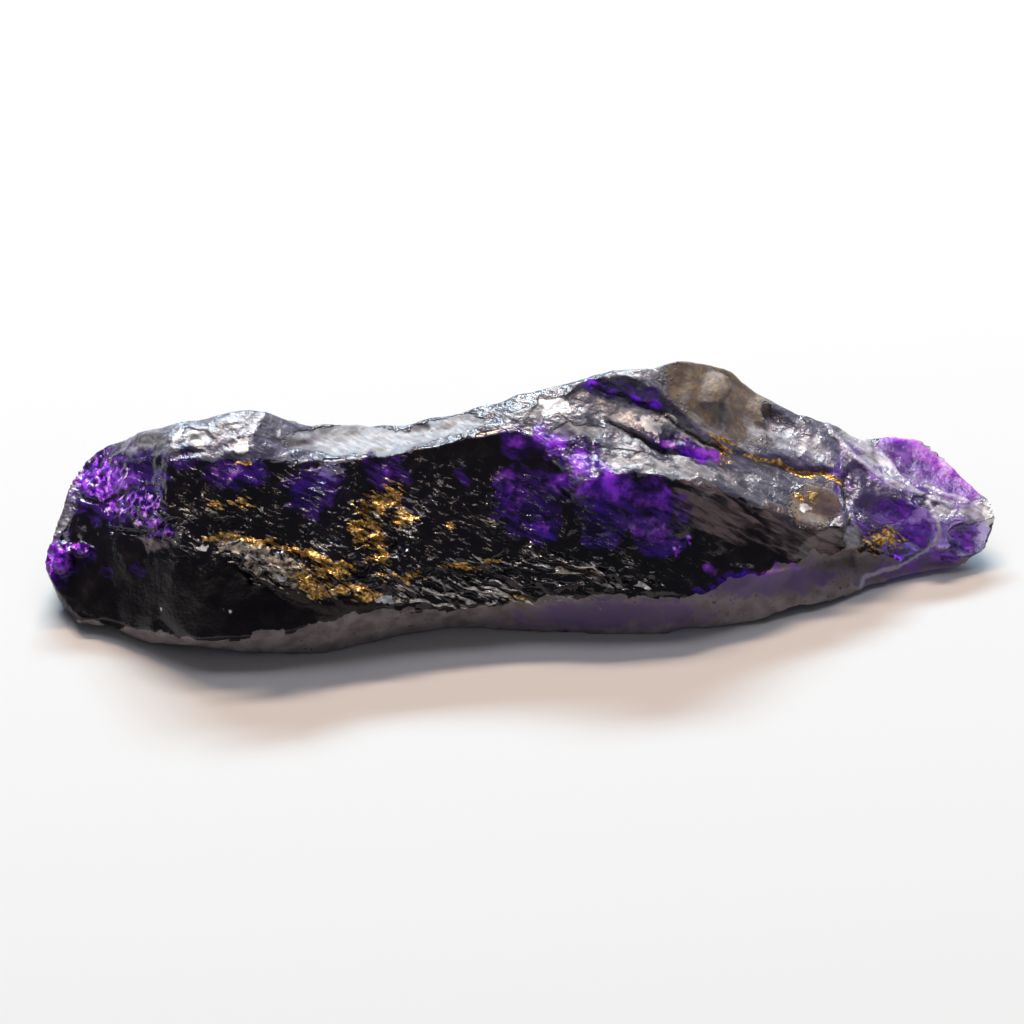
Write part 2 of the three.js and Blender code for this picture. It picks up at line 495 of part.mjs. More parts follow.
// Shell-like scoops on the front and top.
function frontScoops() {
  return [
    scoop(fromSheet([-27.3, -2.4, 8]), [-0.2, -0.8, 0.5], [2.6, 1.4], 0.35, -0.1),
    scoop(fromSheet([-11.0, -4.5, 6.5]), [0.1, -0.8, 0.6], [1.7, 1.5], 0.5),
    scoop(fromSheet([-7.5, 6.0, 11.1]), [0, -0.1, 1], [1.2, 0.7], 0.2, 0.1),
    scoop(fromSheet([3.6, 6.1, 12.7]), [0.1, -0.3, 0.95], [2.0, 1.3], 0.3, -0.4),
    scoop(fromSheet([27.6, 0.9, 5.2]), [0.3, -0.65, 0.7], [2.4, 1.6], 0.3, -0.4),
    scoop(fromSheet([31.6, 3.2, 4.8]), [0.25, -0.15, 0.95], [3.0, 1.5], 0.3, -0.5),
    scoop(fromSheet([21.0, 6.3, 8.4]), [0.1, -0.2, 1], [2.2, 1.1], 0.3, -0.3),
    scoop(fromSheet([34.0, -1.8, 2.2]), [0.2, -0.8, 0.5], [1.3, 0.9], 0.2),
  ];
}

// Scoops on the far side and underneath.
function backScoops() {
  return [
    scoop(fromSpace([-24.0, 0.4, 6.1]), [-0.1, 0.95, 0.2], [5.2, 2.6], 0.6, 0.2),
    scoop(fromSpace([-2.0, 1.6, 6.4]), [0, 0.95, 0.3], [5.0, 2.4], 0.6, -0.1),
    scoop(fromSpace([10.5, 3.3, 11.1]), [0, 0.7, 0.7], [4.6, 2.4], 0.6, 0.1),
    scoop(fromSpace([20.5, 4.2, 5.2]), [0.3, 0.9, 0.3], [3.6, 2.2], 0.5, 0.3),
    scoop(fromSpace([-28.6, -8.6, 0.5]), [-0.4, 0.1, -0.9], [3.0, 2.6], 0.5),
    scoop(fromSpace([24.0, -6.1, 0.4]), [0.2, 0.1, -1], [3.6, 2.2], 0.5, 0.2),
    scoop(fromSpace([6.0, 2.4, 1.6]), [0, 0.6, -0.8], [4.6, 2.0], 0.5),
  ];
}

// Cleavage faces that leave the far side flat in places.
function cleavages() {
  return [
    cleave([-15.0, 1.0, 5.0], [-0.1, 1.0, 0.05]),
    cleave([13.0, 5.5, 5.0], [0.12, 1.0, 0.1]),
    cleave([-29.6, -2.6, 2.9], [-0.5, 0.7, -0.5]),
    cleave([26.0, -1.1, 1.9], [0.25, 0.65, -1.15]),
  ];
}

// Cracks under the upper plate, the split in the crinkled top face and the bench steps.
function cracks() {
  const split = [
    [7.0, 6.95, 12.6], [8.5, 6.4, 12.45], [9.75, 5.75, 12.2], [11.1, 4.9, 11.7], [12.6, 4.75, 11.1],
    [14.1, 4.2, 10.4], [15.1, 3.7, 9.6],
  ];
  const amberStep = [
    [16.9, 4.4, 9], [18.4, 4.0, 8.3], [19.9, 3.6, 7.7], [21.6, 3.1, 7], [23.6, 3.0, 6.5],
    [24.7, 2.6, 6.3],
  ];
  const bench = [
    [-8.4, -5.4, 5.4], [-6.1, -4.35, 6.0], [-2.8, -3.85, 6.1], [0.2, -3.45, 6.15], [3.6, -3.85, 5.75],
    [6.0, -4.5, 5.2],
  ];
  const endNotch = [[25.2, -3.4, 2.2], [25.6, -4.2, 1.8], [26.0, -4.9, 1.4], [26.5, -5.3, 1.0]];
  return [
    wedgeUnder(split, 0.9, 1.0),
    wedgeUnder(amberStep, 0.45, 0.7),
    wedgeUnder(bench, 0.5, 0.8),
    wedgeUnder(endNotch, 0.5, 0.6),
  ];
}

function crystal() {
  const body = toSolid(fromTriangles(hackle(skin(RIDGES))));
  const grown = lumps().reduce((solid, tool) => solid.add(tool), body);
  const cuts = [...frontScoops(), ...backScoops(), ...cleavages(), ...cracks()];
  const broken = cuts.reduce((solid, tool) => solid.subtract(tool), grown);
  return broken.subtract(cleave([0, 0, SOLE_HEIGHT], [0, 0, -1]));
}

// Brings the stone to its length. The origin is under its middle, at the height of its resting facet.
function placed(geometry) {
  geometry.computeBoundingBox();
  const { min, max } = geometry.boundingBox;
  const scale = LENGTH / (max.x - min.x);
  geometry.translate(-(min.x + max.x) / 2, -(min.y + max.y) / 2, -min.z);
  return geometry.scale(scale, scale, scale);
}

const material = new THREE.MeshStandardMaterial({
  color: STONE_COLOUR,
  roughness: STONE_ROUGHNESS,
  metalness: 0,
});
const mesh = new THREE.Mesh(placed(withoutSlivers(toGeometry(crystal()))), material);
mesh.name = 'tanzanite_crystal';
const group = new THREE.Group();
group.add(mesh);

export default group;
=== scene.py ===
"""Rough tanzanite: the broken surface, the stone's material, soft studio light and the camera.

The stone is one piece. Its CAD solid is remeshed finely, roughened by region, and given one
procedural material, whose regions are named patches laid out in the picture plane.
"""
import math

import bpy
import numpy as np
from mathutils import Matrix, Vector, noise


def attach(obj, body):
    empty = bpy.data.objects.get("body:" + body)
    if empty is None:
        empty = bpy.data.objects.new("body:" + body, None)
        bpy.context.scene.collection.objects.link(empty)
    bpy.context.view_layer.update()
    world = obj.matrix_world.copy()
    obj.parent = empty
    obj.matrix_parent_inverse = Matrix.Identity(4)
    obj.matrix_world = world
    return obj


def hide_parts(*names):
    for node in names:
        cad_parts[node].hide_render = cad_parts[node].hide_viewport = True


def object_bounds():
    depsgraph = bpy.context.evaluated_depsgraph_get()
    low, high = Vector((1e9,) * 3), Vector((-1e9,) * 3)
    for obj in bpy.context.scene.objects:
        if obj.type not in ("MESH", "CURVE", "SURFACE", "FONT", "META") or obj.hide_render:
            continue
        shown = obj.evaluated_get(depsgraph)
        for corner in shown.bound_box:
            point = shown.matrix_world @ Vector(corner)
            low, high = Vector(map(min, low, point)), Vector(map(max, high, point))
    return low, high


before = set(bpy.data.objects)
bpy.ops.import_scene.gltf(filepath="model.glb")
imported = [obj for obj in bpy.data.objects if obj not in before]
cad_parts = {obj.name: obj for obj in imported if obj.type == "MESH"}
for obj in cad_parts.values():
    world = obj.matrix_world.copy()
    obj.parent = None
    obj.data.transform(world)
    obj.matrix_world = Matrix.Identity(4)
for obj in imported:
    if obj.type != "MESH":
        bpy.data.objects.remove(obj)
CAD_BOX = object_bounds()

# ---- Sizes, in metres unless named otherwise ---------------------------------------------------

MM = 0.001
NODE = "tanzanite_crystal"
VOXEL = 0.15 * MM               # cell of the even mesh that carries the broken surface
MOST_TRIANGLES = 190_000        # the piece stays under 200,000

VIEW_ELEVATION = math.radians(40)
VIEW_DISTANCE = 1.2
CLIP_NEAR, CLIP_FAR = 0.01, 10.0
SENSOR = 36.0                   # mm
IMAGE = 1024                    # pixels across the frame
PIXEL = 0.075                   # mm of the stone to one pixel
CREST_UP = 11.3                 # mm up the picture plane from the frame's middle to the crest
FRAME_ACROSS = -0.7             # mm along X from the stone's middle to the frame's middle

PAPER_HALF = 1.6
PAPER_DROP = 0.02 * MM          # the paper lies this far under the stone's flat facet
PAPER_COLOUR = (0.62, 0.61, 0.61, 1)
PAPER_ROUGHNESS = 0.8
PAPER_SHEEN = 0.1
ROOM_COLOUR = (0.93, 0.95, 1.0, 1)
ROOM_STRENGTH = 0.13
PANEL_DISTANCE = 1.0
# Azimuth and elevation in degrees, width, height, and the light that it gives the paper.
# Azimuth 0 is straight behind the stone, negative is left.
PANELS = {
    "window": (-8, 36, 0.60, 0.10, (1.48, 2.10, 2.44)),
    "lamp": (-5, 54, 0.60, 0.09, (2.50, 1.94, 1.50)),
    "ceiling": (0, 74, 1.0, 0.30, (0.80, 0.78, 0.86)),
}

# ---- The picture plane -------------------------------------------------------------------------
# It passes through the stone: `across` is X and `up` leans back from the viewer.

UP = np.array([0.0, math.sin(VIEW_ELEVATION), math.cos(VIEW_ELEVATION)])
TO_VIEWER = np.array([0.0, -math.cos(VIEW_ELEVATION), math.sin(VIEW_ELEVATION)])


def vertex_array(mesh, field):
    values = np.empty(len(mesh.vertices) * 3, np.float32)
    mesh.vertices.foreach_get(field, values)
    return values.reshape(-1, 3).astype(np.float64)


FRAME_UP = (vertex_array(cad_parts[NODE].data, "co") @ UP).max() / MM - CREST_UP


def picture(points):
    """Where points lie in the frame, in pixels right and down, as a picture is read."""
    right = IMAGE / 2 + (points[:, 0] / MM - FRAME_ACROSS) / PIXEL
    down = IMAGE / 2 - (points @ UP / MM - FRAME_UP) / PIXEL
    return np.column_stack([right, down])


# ---- Camera, paper and light -------------------------------------------------------------------


def aim_from(thing, direction):
    """Turn a camera or a light so that it looks back along `direction`."""
    thing.rotation_mode = "QUATERNION"
    thing.rotation_quaternion = direction.to_track_quat("Z", "Y")


def add_camera():
    camera = bpy.data.objects.new("camera", bpy.data.cameras.new("camera"))
    bpy.context.scene.collection.objects.link(camera)
    bpy.context.scene.camera = camera
    camera.data.sensor_width = SENSOR
    camera.data.lens = SENSOR * VIEW_DISTANCE / (IMAGE * PIXEL * MM)
    camera.data.clip_start, camera.data.clip_end = CLIP_NEAR, CLIP_FAR
    middle = Vector(UP) * FRAME_UP * MM + Vector((FRAME_ACROSS * MM, 0, 0))
    camera.location = middle + Vector(TO_VIEWER) * VIEW_DISTANCE
    aim_from(camera, Vector(TO_VIEWER))


def add_paper():
    material = bpy.data.materials.new("paper")
    material.use_nodes = True
    shader = material.node_tree.nodes["Principled BSDF"]
    shader.inputs["Base Color"].default_value = PAPER_COLOUR
    shader.inputs["Roughness"].default_value = PAPER_ROUGHNESS
    shader.inputs["Specular IOR Level"].default_value = PAPER_SHEEN
    half = PAPER_HALF
    corners = [(-half, -half, 0), (half, -half, 0), (half, half, 0), (-half, half, 0)]
    mesh = bpy.data.meshes.new("floor")
    mesh.from_pydata(corners, [], [(0, 1, 2, 3)])
    mesh.materials.append(material)
    floor = bpy.data.objects.new("floor", mesh)
    floor.location.z = -PAPER_DROP
    bpy.context.scene.collection.objects.link(floor)


def add_panel(name, azimuth, elevation, width, height, light_on_paper):
    """A flat soft light that faces the stone and isn't seen by the camera."""
    light = bpy.data.lights.new(name, "AREA")
    light.shape = "RECTANGLE"
    light.size, light.size_y = width, height
    a, e = math.radians(azimuth), math.radians(elevation)
    strongest = max(light_on_paper)
    light.energy = math.pi * strongest * PANEL_DISTANCE**2 / math.sin(e)
    light.color = [part / strongest for part in light_on_paper]
    panel = bpy.data.objects.new(name, light)
    direction = Vector((math.sin(a) * math.cos(e), math.cos(a) * math.cos(e), math.sin(e)))
    panel.location = direction * PANEL_DISTANCE
    aim_from(panel, direction)
    panel.visible_camera = False
    bpy.context.scene.collection.objects.link(panel)


def add_room():
    world = bpy.data.worlds.new("room")
    world.use_nodes = True
    background = world.node_tree.nodes["Background"]
    background.inputs["Color"].default_value = ROOM_COLOUR
    background.inputs["Strength"].default_value = ROOM_STRENGTH
    bpy.context.scene.world = world


add_camera()
add_paper()
for panel_name, panel in PANELS.items():
    add_panel(panel_name, *panel)
add_room()
bpy.context.scene.view_settings.view_transform = "Standard"

# ---- Regions -----------------------------------------------------------------------------------
# Every patch is (right, down, half width, half height, turn in degrees), in pixels of the frame.

# Frothy spots with a painted glow and painted glints, most of them at the blunt end.
FROTH = [
    (102, 480, 26, 22, 10), (132, 503, 32, 15, 10), (158, 527, 22, 8, 15), (58, 556, 11, 17, 0),
    (80, 548, 9, 5, 0), (681, 540, 8, 6, 0), (672, 550, 8, 5, 0),
]
# Violet stone, then the parts of it with a painted glow, and those with a faint painted glow.
VIOLET = [
    (114, 482, 54, 40, 5), (156, 484, 12, 26, 0), (158, 526, 24, 9, 15), (60, 558, 18, 27, 0),
    (88, 552, 12, 8, 0), (108, 574, 10, 6, 0), (141, 570, 9, 6, 0), (186, 460, 26, 7, 0),
    (238, 472, 36, 15, 0), (316, 490, 30, 24, -20), (388, 472, 23, 16, 10), (463, 474, 8, 8, 0),
    (517, 446, 18, 15, 20), (522, 500, 28, 34, -15), (545, 526, 16, 20, 0), (575, 456, 44, 22, 32),
    (563, 484, 18, 12, 0), (626, 504, 54, 32, 12), (600, 536, 24, 14, 0), (656, 542, 28, 12, 5),
    (622, 392, 46, 13, 12), (672, 443, 46, 10, 20), (893, 512, 26, 11, 0), (915, 533, 26, 15, 0),
    (968, 540, 20, 22, 0), (915, 564, 62, 12, -12), (610, 614, 110, 14, -2), (775, 582, 70, 14, -8),
]
GLOW = [
    (552, 440, 18, 10, 30), (592, 464, 28, 13, 32), (561, 484, 14, 8, 0), (606, 488, 32, 14, 10),
    (676, 446, 24, 6, 20), (703, 455, 14, 6, 20), (588, 387, 9, 5, 15), (611, 391, 10, 5, 15),
    (634, 398, 10, 5, 15), (655, 405, 9, 5, 30),
]
FAINT = [
    (110, 482, 36, 26, 0), (60, 560, 12, 20, 0), (650, 494, 30, 15, 12), (650, 528, 30, 12, 15),
    (512, 492, 16, 20, -15), (238, 473, 22, 8, 0), (388, 470, 12, 8, 0), (541, 526, 10, 12, 0),
    (622, 394, 42, 9, 12), (645, 535, 10, 6, 0), (708, 570, 8, 6, 0), (516, 443, 10, 8, 0),
    (895, 515, 26, 9, 10), (925, 535, 18, 8, -10), (968, 543, 12, 12, 0), (930, 561, 42, 6, -12),
    (785, 566, 36, 5, -14),
]
# The clear facet at the right end; its pink is a painted glow.
ROSE = [(912, 457, 36, 19, 30), (947, 474, 38, 17, 40)]
# The pale gritty ridge of the left half.
GRIT = [(276, 564, 62, 14, 28), (240, 545, 26, 6, 10), (330, 588, 24, 9, 20)]
# Smooth and matt facets; the smooth ones carry a painted grey sheen.
SATIN = [(356, 441, 72, 15, 1), (440, 430, 44, 9, -14), (577, 431, 26, 8, 0)]
MATT = [(190, 594, 170, 34, 4), (330, 606, 60, 14, 0)]
# Brown and smoky marks, and painted highlights where the lights mirror in the stone.
UMBER = [(716, 512, 44, 24, 25), (800, 532, 46, 24, 14), (160, 540, 24, 8, 0)]
SMOKE = [(880, 500, 36, 17, 8), (856, 472, 12, 22, -30), (925, 500, 14, 7, 10)]
PAINTED_HIGHLIGHTS = [
    (556, 409, 14, 8, -15), (200, 444, 5, 4, 0), (988, 514, 6, 14, 0), (648, 427, 12, 6, 0),
    (803, 507, 5, 4, 0), (208, 550, 6, 2, 20), (384, 598, 11, 5, 0), (164, 608, 2, 2, 0),
    (232, 609, 8, 2, 0), (182, 437, 4, 7, 20), (246, 446, 8, 5, 0), (283, 576, 4, 3, 0),
]
# Gold, as spots and as drawn lines: metallic flecks, their brightest gold partly painted warm
# glints.
AMBER = [
    (225, 537, 22, 4, 0), (262, 541, 24, 4, 8), (302, 550, 24, 6, 18), (312, 582, 24, 14, 20),
    (366, 528, 16, 26, -18), (390, 498, 16, 14, 0), (350, 590, 22, 9, 10), (322, 566, 18, 8, 25),
    (380, 506, 18, 12, 0), (408, 518, 14, 7, 0), (378, 545, 12, 24, -10), (366, 592, 26, 8, 10),
    (345, 566, 12, 10, 0), (242, 464, 9, 3, 0), (218, 505, 14, 4, 20), (245, 504, 18, 4, 5),
    (450, 526, 6, 4, 0), (462, 566, 24, 3, 5), (520, 593, 12, 4, 0), (402, 577, 22, 6, 0),
    (574, 570, 22, 3, 5), (722, 447, 16, 12, 40), (882, 540, 23, 12, -20), (804, 498, 14, 5, 0),
]
GOLD_LINES = [
    [(206, 539), (225, 536), (260, 540), (290, 547), (322, 556), (338, 566)],
    [(745, 455), (765, 459), (790, 470), (808, 476), (820, 474), (843, 484)],
    [(452, 565), (466, 563)],
    [(486, 561), (500, 559)],
]
# Seams, grooved and darkened with painted shade, and pale creases, as lines.
SEAMS = [
    [(83, 499), (100, 502), (125, 493), (140, 487)],
    [(115, 529), (140, 533), (160, 528), (178, 519)],
    [(590, 386), (625, 399), (660, 414), (690, 434), (722, 450)],
    [(608, 421), (640, 440), (664, 452)],
    [(845, 476), (845, 495), (850, 522)],
]
CREASES = [
    [(828, 424), (850, 452), (880, 475), (915, 491)],
    [(862, 441), (890, 462), (915, 490), (952, 506)],
    [(925, 486), (945, 494), (968, 500)],
    [(857, 592), (864, 576), (896, 567), (915, 557), (931, 546), (939, 535), (938, 520),
     (928, 503)],
]
# The flashing, crusty ledges, whose pale metal flecks are painted glints; the pale patches of
# painted sheen; the brown and see-through parts.
CRUST_GLINTS = [
    (275, 568, 60, 18, 28), (384, 598, 24, 9, 0), (440, 588, 58, 12, -3), (505, 594, 40, 9, 8),
    (505, 560, 80, 4, 2), (585, 570, 34, 5, 5), (630, 586, 40, 5, 5),
]
# Pale patches of painted sheen, where the lights above mirror in the top.
PALE = [
    (370, 441, 66, 12, 0), (450, 430, 40, 9, -12), (543, 412, 24, 12, -15), (575, 430, 30, 8, 0),
    (690, 432, 60, 14, 20), (640, 425, 40, 20, 10), (660, 465, 100, 10, 8), (200, 438, 16, 9, 0),
    (870, 452, 44, 12, 42), (885, 466, 30, 12, 40), (938, 506, 22, 10, 20), (975, 512, 16, 16, 0),
    (790, 440, 46, 12, 20), (852, 538, 8, 20, 0), (138, 447, 32, 11, -18),
]
OCHRE = [(718, 400, 62, 36, 35), (700, 388, 26, 18, 0), (815, 505, 28, 20, 0)]
CLEAR = [(922, 500, 86, 64, 20), (872, 480, 40, 44, 0)]
# Kinds of surface.
STRIATED = [(680, 505, 70, 30, 15)]
SCALY = [(400, 530, 260, 62, 5), (560, 560, 130, 40, 3)]
FLAKY = [
    (450, 588, 100, 20, -3), (560, 575, 90, 18, 3), (290, 572, 66, 24, 25), (380, 540, 30, 50, 0),
]
WAVY = [(455, 592, 72, 15, -3), (540, 566, 60, 8, 3)]
CRINKLED = [(640, 445, 110, 42, 20), (250, 437, 130, 26, -6), (480, 424, 60, 14, -15)]

# Lines from left to right: the lower edge of the top, and the upper edge of the rim.
BROW = [
    (40, 560), (60, 540), (80, 505), (100, 480), (120, 465), (150, 460), (270, 462), (345, 459),
    (385, 457), (410, 454), (440, 446), (500, 431), (525, 432), (545, 447), (572, 490), (600, 475),
    (645, 474), (700, 487), (740, 497), (790, 525), (845, 530), (1000, 520),
]
RIM = [
    (40, 622), (75, 618), (100, 622), (160, 633), (200, 639), (250, 636), (300, 625), (360, 613),
    (440, 610), (520, 600), (560, 596), (650, 597), (700, 597), (720, 587), (760, 572), (800, 556),
    (850, 549), (900, 560), (1000, 556),
]

# ---- Noise -------------------------------------------------------------------------------------

SEED_STEP = 17.31               # takes each seed to a part of the noise of its own
FRACTAL_FALL, FRACTAL_STEP = 0.9, 2.0
FLOW_SLOPE = math.radians(14)   # the ridges of `flow` run down to the right by this much
FLOW_SWAY, FLOW_SWAY_SIZE = 0.5, 1.2


def smooth(low, high, value):
    t = np.clip((value - low) / (high - low), 0, 1)
    return t * t * (3 - 2 * t)


def places(points, size, seed):
    return points / (size * MM) + seed * SEED_STEP


def wave(points, size, seed):
    """Smooth noise from -1 to 1 whose lumps are about `size` mm across."""
    return np.array([noise.noise(p) for p in places(points, size, seed).tolist()])


def fractal(points, size, seed, octaves=4):
    return np.array([noise.fractal(p, FRACTAL_FALL, FRACTAL_STEP, octaves)
                     for p in places(points, size, seed).tolist()])


def cells(points, size, seed):
    """Distance to the nearest of scattered points, 0 in a cell's middle."""
    return np.array([noise.voronoi(p)[0][0] for p in places(points, size, seed).tolist()])


def flow(points, long, wide, seed):
    """Ridges that run down to the right: 1 on a ridge, falling to 0 between."""
    axes = np.array([
        [math.cos(FLOW_SLOPE) / long, *(-math.sin(FLOW_SLOPE) / long * UP[1:])],
        [math.sin(FLOW_SLOPE) / wide, *(math.cos(FLOW_SLOPE) / wide * UP[1:])],
        [0, *(TO_VIEWER[1:] / long)],
    ])
    turned = points @ axes.T / MM + seed * SEED_STEP
    turned[:, 1] += FLOW_SWAY * wave(points, FLOW_SWAY_SIZE, seed + 1)
    return np.array([1 - abs(noise.noise(p)) * 2 for p in turned.tolist()]).clip(0, 1)


# ---- Shares of the regions ---------------------------------------------------------------------

RAGGEDNESS = ((1.3, 7, (1, 2)), (0.45, 3, (3, 4)))  # size in mm, reach in pixels, seeds
LINE_RAGGEDNESS = 0.4           # part of that reach that a drawn line gets
FACING = (-0.40, -0.15)         # how far a normal leans to the viewer: not laid out, laid out


class Regions:
    """The shares, from 0 to 1, that each named region has in every point of the surface."""

    def __init__(self, points, normals):
        self.points = points
        self.spot = picture(points)
        self.ragged = self.spot + sum(
            np.column_stack([wave(points, size, seed) for seed in seeds]) * reach
            for size, reach, seeds in RAGGEDNESS
        )
        self.facing = smooth(*FACING, normals @ TO_VIEWER)
        self.hidden = 1 - self.facing

    def patches(self, patches, edge=0.35):
        share = np.zeros(len(self.spot))
        for right, down, width, height, turn in patches:
            a = math.radians(turn)
            offset = self.ragged - (right, down)
            along = offset @ (math.cos(a), math.sin(a)) / width
            aside = offset @ (-math.sin(a), math.cos(a)) / height
            share = np.maximum(share, smooth(1 + edge, 1 - edge, np.hypot(along, aside)))
        return share * self.facing

    def lines(self, lines, reach):
        """Close to lines that each run through the named points."""
        nearest = np.full(len(self.spot), np.inf)
        place = self.spot * (1 - LINE_RAGGEDNESS) + self.ragged * LINE_RAGGEDNESS
        for start, end in [pair for line in lines for pair in zip(line[:-1], line[1:])]:
            step = np.subtract(end, start)
            t = np.clip((place - start) @ step / (step @ step), 0, 1)
            gap = np.linalg.norm(place - start - t[:, None] * step, axis=1)
            nearest = np.minimum(nearest, gap)
        return smooth(reach * 1.5, reach * 0.5, nearest) * self.facing

    def below(self, line, blur=3.0):
        rights, downs = zip(*line)
        level = np.interp(self.spot[:, 0], rights, downs)
        return smooth(-blur, blur, self.ragged[:, 1] - level) * self.facing

    def ripples(self):
        """Thin rounded ridges; only the rippled part of the lower front has them, with painted
        glints along them.
        """
        return flow(self.points, *RIPPLES) ** 3


# ---- The stone's mesh --------------------------------------------------------------------------
# Heights are in mm. The grains are (size in mm, seed), the flows (length, width, seed).

SWELL_HEIGHT, SWELL = 0.10, (2.6, 5)
FINE_HEIGHT, FINE = 0.04, (0.9, 6)
SWELL_GLASSY = 0.4              # what is left of the swell on the see-through end
FINE_PLAIN, FINE_RIM = 0.25, 0.3    # what is left of the fine grain off the scales, on the rim
LEDGE_RISE = np.array([0.45, 0, 0]) + 0.89 * UP     # the ledges climb this way
LEDGES = ((0.95, 0.29, 7), (0.55, 0.13, 9))         # pitch, height, seed
LEDGE_BENDS = ((1.2, 1.8), (0.5, 0.6))              # how many ledges, over what size
LEDGE_GATE = (0.06, 0.34)
LEDGE_GATE_SIZE = 1.1
LEDGE_SHARES = {"flaky": 0.9, "hidden": 0.5}
MOST_LEDGE = 1.3
FLAKE_HEIGHT, FLAKE_DEPTH, FLAKES = 0.42, 0.18, (1.8, 0.8, 12)
RIPPLE_HEIGHT, RIPPLES = 0.22, (3.2, 0.65, 31)
FROTH_HEIGHT, FROTH_MIDDLE, FROTH_CELLS = 0.40, 0.35, (0.62, 13)
CRUMPLE_HEIGHT, CRUMPLE_DEPTH, CRUMPLES = 0.04, 0.09, (0.8, 14, 3)
GRIT_HEIGHT, GRIT_MIDDLE, GRIT_CELLS = 0.12, 0.4, (0.4, 16)
CREASE_HEIGHT, CREASE_REACH = 0.08, 2.0             # reach in pixels
SEAM_DEPTH, SEAM_REACH = 0.22, 2.2
GLASSY_FROM = (820, 860)        # pixels across, where the see-through end starts
CLEAR_FROM = (800, 860)         # the same on the hidden side

FAR_GRAINS = ((1.0, 5.0, 21), (0.5, 1.6, 22))       # violet of the hidden side: weight, size, seed
FAR_EDGE = (-0.15, 0.35)
# painted glow on the hidden side and in the faint patches
FAR_GLOW, FAINT_GLOW = 0.4, 0.5
VEINS, VEIN_EDGE, VEIN_SHARE = (7.0, 23), (0.82, 0.95), 0.5
HIDDEN_SCALES = 0.5
DRAWN_LINES = {"gilt": (GOLD_LINES, 2.2), "seam": (SEAMS, 1.8), "crease": (CREASES, 1.8)}
DRAWN_PATCHES = {
    "froth": (FROTH, 0.5), "rose": (ROSE, 0.5), "grit": (GRIT, 0.5), "satin": (SATIN, 0.4),
    "umber": (UMBER, 0.6), "smoke": (SMOKE, 0.5), "painted_highlight": (PAINTED_HIGHLIGHTS, 0.4), "matt": (MATT, 0.4),
    "crust_glints": (CRUST_GLINTS, 0.6), "pale": (PALE, 0.6), "ochre": (OCHRE, 0.5),
    "striated": (STRIATED, 0.5),
}


def applied(thing, modifier_type, **settings):
    """Give the thing the mesh that one modifier makes of it."""
    modifier = thing.modifiers.new("step", modifier_type)
    for name, value in settings.items():
        setattr(modifier, name, value)
    bpy.context.view_layer.update()
    shown = thing.evaluated_get(bpy.context.evaluated_depsgraph_get())
    mesh = bpy.data.meshes.new_from_object(shown)
    thing.modifiers.clear()
    thing.data = mesh


def ledges(points, pitch, size, seed):
    """Small broken steps, each `size` high, that come and go."""
    turns = points @ LEDGE_RISE / MM / pitch
    for step, (bend, bend_size) in enumerate(LEDGE_BENDS):
        turns = turns + bend * wave(points, bend_size, seed + step)
    gate = smooth(*LEDGE_GATE, wave(points, LEDGE_GATE_SIZE, seed + 2))
    return size * (turns - np.floor(turns) - 0.5) * gate


def relief(points, normals):
    """How far each point of the broken surface lies above its facet, in mm."""
    regions = Regions(points, normals)
    scaly, flaky, hidden = regions.patches(SCALY), regions.patches(FLAKY), regions.hidden
    rim = regions.below(RIM)
    glassy = smooth(*GLASSY_FROM, regions.spot[:, 0])

    height = SWELL_HEIGHT * fractal(points, *SWELL) * (1 - (1 - SWELL_GLASSY) * glassy)
    lively = FINE_PLAIN + (1 - FINE_PLAIN) * np.maximum(scaly, hidden)
    height += FINE_HEIGHT * fractal(points, *FINE) * lively * (1 - (1 - FINE_RIM) * rim)
    stepped = scaly + LEDGE_SHARES["flaky"] * flaky + LEDGE_SHARES["hidden"] * hidden
    for ledge in LEDGES:
        height += ledges(points, *ledge) * np.clip(stepped, 0, MOST_LEDGE) * (1 - rim)
    height += (FLAKE_HEIGHT * flow(points, *FLAKES) ** 2 - FLAKE_DEPTH) * flaky
    height += RIPPLE_HEIGHT * regions.ripples() * regions.patches(WAVY)
    height += FROTH_HEIGHT * (FROTH_MIDDLE - cells(points, *FROTH_CELLS)) * regions.patches(FROTH)
    crumple = np.abs(fractal(points, *CRUMPLES))
    height += (CRUMPLE_HEIGHT - CRUMPLE_DEPTH * crumple) * regions.patches(CRINKLED)
    height += GRIT_HEIGHT * (GRIT_MIDDLE - cells(points, *GRIT_CELLS)) * regions.patches(GRIT)
    creases, seams = regions.lines(CREASES, CREASE_REACH), regions.lines(SEAMS, SEAM_REACH)
    return height + (CREASE_HEIGHT * creases - SEAM_DEPTH * seams)


def keep_inside(points):
    low, high = (np.array(corner) for corner in CAD_BOX)
    return np.clip(points, low, high)


def make_stone():
    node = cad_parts[NODE]
    stone = bpy.data.objects.new("stone", node.data.copy())
    bpy.context.scene.collection.objects.link(stone)
    applied(stone, "REMESH", mode="VOXEL", voxel_size=VOXEL)
    points, normals = vertex_array(stone.data, "co"), vertex_array(stone.data, "normal")
    points += normals * (relief(points, normals) * MM)[:, None]
    stone.data.vertices.foreach_set("co", keep_inside(points).ravel())
    stone.data.update()
    stone.data.calc_loop_triangles()
    share = MOST_TRIANGLES / len(stone.data.loop_triangles)
    if share < 1:
        applied(stone, "DECIMATE", ratio=share)
    stone.data.polygons.foreach_set("use_smooth", [True] * len(stone.data.polygons))
    return stone


